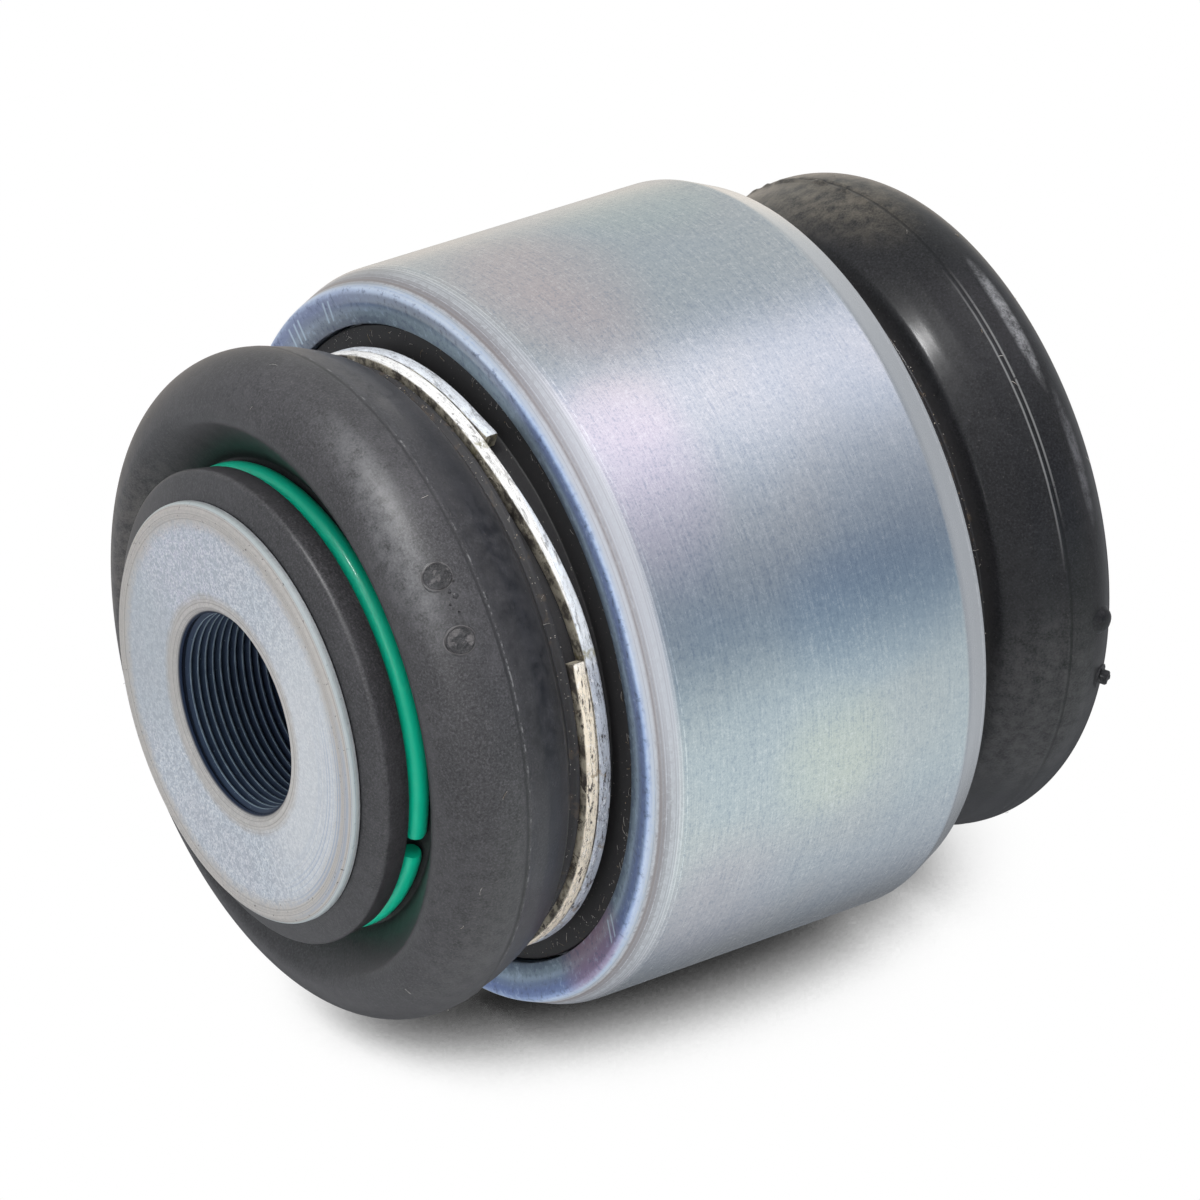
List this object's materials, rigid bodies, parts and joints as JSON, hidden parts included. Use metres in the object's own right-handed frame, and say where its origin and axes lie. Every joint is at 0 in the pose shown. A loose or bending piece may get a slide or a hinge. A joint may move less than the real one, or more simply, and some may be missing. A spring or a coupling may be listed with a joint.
{
  "type": "rubber metal bush",
  "caption": "Bush of ball joint form: a threaded steel sleeve swivels in a round steel housing, sealed at both ends by rubber boots held with wire rings.",
  "frame": {"origin": "centre of the ball, which is the middle of the sleeve", "axes": "+Z along the sleeve, towards the end where the housing's lip is rolled in. The part stands on its other sleeve end."},
  "size_m": [0.044, 0.044, 0.0516],
  "materials": {
    "housing_steel": "turned, with a blue tempered lip",
    "sleeve_steel": "ground ball, turned necks",
    "closing_ring_steel": "turned",
    "seat_plastic": "moulded",
    "boot_rubber": "matte moulded, lightly dusty",
    "wire_ring_coating": "pale zinc flake coating",
    "neck_ring_coating": "green, semi-gloss"
  },
  "bodies": {
    "housing": {"housing": "housing_steel", "closing_ring": "closing_ring_steel", "ball_seat": "seat_plastic", "front_boot": "boot_rubber", "rear_boot": "boot_rubber", "front_outer_ring": "wire_ring_coating", "rear_outer_ring": "wire_ring_coating"},
    "collars": {"front_neck_ring": "neck_ring_coating", "rear_neck_ring": "neck_ring_coating"},
    "sleeve": {"ball_sleeve": "sleeve_steel"}
  },
  "joints": [
    {"name": "sleeve_tilt", "type": "hinge", "parent": "housing", "child": "collars", "pos_m": [0, 0, 0], "axis": [1, 0, 0], "range_deg": [-10, 10], "deforming": ["front_boot", "rear_boot"]},
    {"name": "sleeve_spin", "type": "hinge", "parent": "collars", "child": "sleeve", "pos_m": [0, 0, 0], "axis": [0, 0, 1], "continuous": true}
  ]
}
